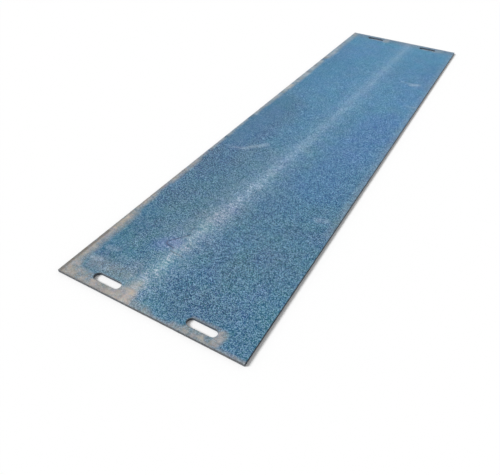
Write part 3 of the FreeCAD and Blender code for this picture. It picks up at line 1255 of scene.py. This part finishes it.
@dataclass(frozen=True, kw_only=True)
class SawnPolyethylene(Polyethylene):
    """The same HDPE where a saw has cut it.

    The saw smears the chips along the cut, so the eye sees fine streaks on the long sides and a speckled
    dark grey on the two ends. The long sides are painted a dark navy, far darker than the ends, as painted
    shade.
    """

    end_from: float
    name: str = "sawn_recycled_hdpe"
    # The long sides' navy is painted shade; the ends' grey is the lit colour
    side: str = "#0e2032"
    side_streak: str = "#22384d"
    end: str = "#303439"
    end_speck: str = "#6b6e73"
    # A cut chip is smeared along the cut, so it is this long and this high
    chip_length: float = 4.4 * MM
    chip_height: float = 2.4 * MM
    # How far the chips' outlines are pushed about
    squeeze: float = 4 * MM
    # How much of an end's tone comes from its chips, and the rest comes from the saw's streaks
    chip_share: float = 0.55
    # Saw marks are about 0.4 mm apart in the real cut, and drawn coarser here so that they show
    streak: float = 1.5 * MM
    streak_length: float = 60 * MM
    # The tones that show as the darker and as the paler colour, on the sides and on the ends
    side_spread: tuple[float, float] = (0.4, 0.7)
    end_spread: tuple[float, float] = (0.35, 0.75)
    roughness: float = 0.6
    relief: float = 0.15 * MM

    def build(self) -> bpy.types.Material:
        """Make the material.

        Returns:
            The material, for the sawn edge of the sheet.
        """
        nodes = Nodes(bpy.data.materials.new(self.name))
        _, y, _ = nodes.axes
        from_middle = nodes.add("Math", (y,), operation="ABSOLUTE")
        is_end = nodes.add("Math", (from_middle, self.end_from), operation="GREATER_THAN")
        drawn_out = (1 / self.streak_length, 1 / self.streak_length, 1 / self.streak)
        along_cut = nodes.add("Mapping", {"Vector": nodes.place, "Scale": drawn_out})
        streaks = nodes.add("TexNoise", {"Vector": along_cut, "Scale": 1.0, "Detail": 3.0})
        pushes = {"Vector": nodes.place, "Scale": 1 / self.chip_length, "Detail": 2.0}
        pushes = nodes.add("TexNoise", pushes).outputs["Color"]
        squeezed = (pushes, (self.squeeze,) * 3, nodes.place)
        squeezed = nodes.add("VectorMath", squeezed, operation="MULTIPLY_ADD")
        smear = (1 / self.chip_length, 1 / self.chip_length, 1 / self.chip_height)
        smeared = nodes.add("Mapping", {"Vector": squeezed, "Scale": smear})
        chips = nodes.add("TexVoronoi", {"Vector": smeared, "Scale": 1.0}).outputs["Color"]
        tones = {SHARE: self.chip_share, 2: streaks, 3: nodes.add("SeparateColor", (chips,))}
        side_share = nodes.add("MapRange", (streaks, *self.side_spread))
        end_share = nodes.add("MapRange", (nodes.add("Mix", tones), *self.end_spread))
        # The long sides take the painted shade colour, the ends the lit one
        side = nodes.lay_over(self.side, [((side_share,), self.side_streak)])
        end = nodes.lay_over(self.end, [((end_share,), self.end_speck)])
        colour = nodes.lay_over(side, [((is_end,), end)])
        return self.shade(nodes, colour, self.roughness, streaks)


@dataclass(frozen=True, kw_only=True)
class RoutedPolyethylene(Polyethylene):
    """The same HDPE where a router has cut the hand slots.

    The cutter leaves close level rings and a clean slate blue wall, and dust gathers on the rims.
    """

    name: str = "routed_recycled_hdpe"
    wall: str = "#2a3844"
    ring: str = "#405060"
    dust: str = "#9b9a98"
    # Cutter rings are about 0.3 mm apart in the real slot, and drawn coarser here so that they show
    ring_pitch: float = 2 * MM
    ring_length: float = 30 * MM
    # The tones that show as wall and as ring
    ring_spread: tuple[float, float] = (0.35, 0.65)
    # The heights between which the dust sets in, and how dense it is at them
    dust_spread: tuple[float, ...] = (13 * MM, 15 * MM, 0.0, 0.4)
    roughness: float = 0.5
    relief: float = 0.1 * MM

    def build(self) -> bpy.types.Material:
        """Make the material.

        Returns:
            The material, for the walls and rims of the hand slots.
        """
        nodes = Nodes(bpy.data.materials.new(self.name))
        _, _, z = nodes.axes
        drawn_out = (1 / self.ring_length, 1 / self.ring_length, 1 / self.ring_pitch)
        level = nodes.add("Mapping", {"Vector": nodes.place, "Scale": drawn_out})
        rings = nodes.add("TexNoise", {"Vector": level, "Scale": 1.0, "Detail": 2.0})
        ring_share = nodes.add("MapRange", (rings, *self.ring_spread))
        dust = nodes.add("MapRange", (z, *self.dust_spread), interpolation_type="SMOOTHSTEP")
        layers = [((ring_share,), self.ring), ((dust,), self.dust)]
        return self.shade(nodes, nodes.lay_over(self.wall, layers), self.roughness, rings)


@dataclass(frozen=True)
class Studio:
    """A wide white floor, an even white sky and one soft lamp from the near left.

    The sky gives sky_level and the lamp the rest of 1, so on a level face a colour renders about as it
    is written.
    """

    sky_level: float = 0.42
    sky_colour: str = "#ffffff"
    lamp_elevation: float = 38.0
    # From -X towards -Y
    lamp_azimuth: float = 35.0
    lamp_angle: float = 22.0
    floor_half_size: float = 60.0
    # The floor lies this far below the underside, so that the two don't share a plane
    floor_gap: float = 0.1 * MM
    floor_colour: str = "#ffffff"

    def build(self) -> None:
        """Make the floor, the sky and the lamp."""
        self.lay_floor()
        self.light_sky()
        self.hang_lamp()

    def lay_floor(self) -> None:
        """Lay the floor."""
        half = self.floor_half_size
        corners = [(-half, -half), (half, -half), (half, half), (-half, half)]
        mesh = bpy.data.meshes.new("floor")
        mesh.from_pydata([(x, y, -self.floor_gap) for x, y in corners], [], [(0, 1, 2, 3)])
        floor = bpy.data.objects.new("floor", mesh)
        bpy.context.scene.collection.objects.link(floor)
        nodes = Nodes(bpy.data.materials.new("white_floor"))
        matt = {"Base Color": self.floor_colour, "Roughness": 1.0, "Specular IOR Level": 0.0}
        nodes.add("OutputMaterial", (nodes.add("BsdfPrincipled", matt),))
        mesh.materials.append(nodes.owner)

    def light_sky(self) -> None:
        """Light the object evenly from all round, and show white where the camera sees the sky.

        The sheet has no glass or metal to mirror the background, so only the camera sees it white.
        """
        nodes = Nodes(bpy.data.worlds.new("studio"))
        to_camera = nodes.add("LightPath").outputs["Is Camera Ray"]
        levels = {"Value": to_camera, "To Min": self.sky_level, "To Max": 1.0}
        sky = {"Color": self.sky_colour, "Strength": nodes.add("MapRange", levels)}
        nodes.add("OutputWorld", (nodes.add("Background", sky),))
        bpy.context.scene.world = nodes.owner

    def hang_lamp(self) -> None:
        """Hang the lamp so that it and the sky together give 1 on a level face."""
        lamp = bpy.data.lights.new("lamp", "SUN")
        lift = math.radians(self.lamp_elevation)
        turn = math.radians(self.lamp_azimuth)
        lamp.angle = math.radians(self.lamp_angle)
        lamp.energy = math.pi * (1 - self.sky_level) / math.sin(lift)
        towards = Vector(
            (-math.cos(lift) * math.cos(turn), -math.cos(lift) * math.sin(turn), math.sin(lift))
        )
        holder = bpy.data.objects.new("lamp", lamp)
        holder.rotation_euler = towards.to_track_quat("Z", "Y").to_euler()
        bpy.context.scene.collection.objects.link(holder)


@dataclass(frozen=True)
class PhotoCamera:
    """The camera that gives the photograph's view at 500 by 475."""

    place: tuple[float, float, float] = (0.98980, -2.92411, 1.59389)
    # Heading from +Y towards -X, tilt below the level, and roll to the left, in degrees
    heading: float = 27.919
    tilt: float = 41.338
    roll: float = 2.405
    # The lens and the width of the sensor, in millimetres
    lens: float = 33.89
    sensor_width: float = 36.0
    # It sees nothing beyond this, in metres
    sight: float = 500.0

    def build(self) -> None:
        """Make the camera and look through it.

        Formula: forward = (-sin h cos t, cos h cos t, -sin t), the level right-hand side is
        (cos h, sin h, 0), up is right x forward, and the roll turns both about forward.
        """
        h, t, roll = (math.radians(angle) for angle in (self.heading, self.tilt, self.roll))
        forward = Vector((-math.sin(h) * math.cos(t), math.cos(h) * math.cos(t), -math.sin(t)))
        level = Vector((math.cos(h), math.sin(h), 0))
        right = level * math.cos(roll) + level.cross(forward) * math.sin(roll)
        up = right.cross(forward)
        data = bpy.data.cameras.new("camera")
        data.sensor_width = self.sensor_width
        data.sensor_fit = "HORIZONTAL"
        data.lens = self.lens
        data.clip_end = self.sight
        camera = bpy.data.objects.new("camera", data)
        turned = Matrix((right, up, -forward)).transposed().to_4x4()
        camera.matrix_world = Matrix.Translation(self.place) @ turned
        bpy.context.scene.collection.objects.link(camera)
        bpy.context.scene.camera = camera


def main() -> None:
    """Build the mat, dress it and set the stage."""
    logging.basicConfig(level=logging.INFO, format="%(name)s: %(message)s")
    bpy.context.scene.view_settings.view_transform = "Standard"
    low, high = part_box("mat")
    mat = Mat(half_width=high.x, half_length=high.y, thickness=high.z - low.z)
    piece = mat.build()
    mat.dress(piece)
    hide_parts("mat")
    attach(piece, "root")
    triangles = sum(len(face.vertices) - 2 for face in piece.data.polygons)
    LOG.info("%s: %d triangles", piece.name, triangles)
    Studio().build()
    PhotoCamera().build()


if __name__ == "__main__":
    main()
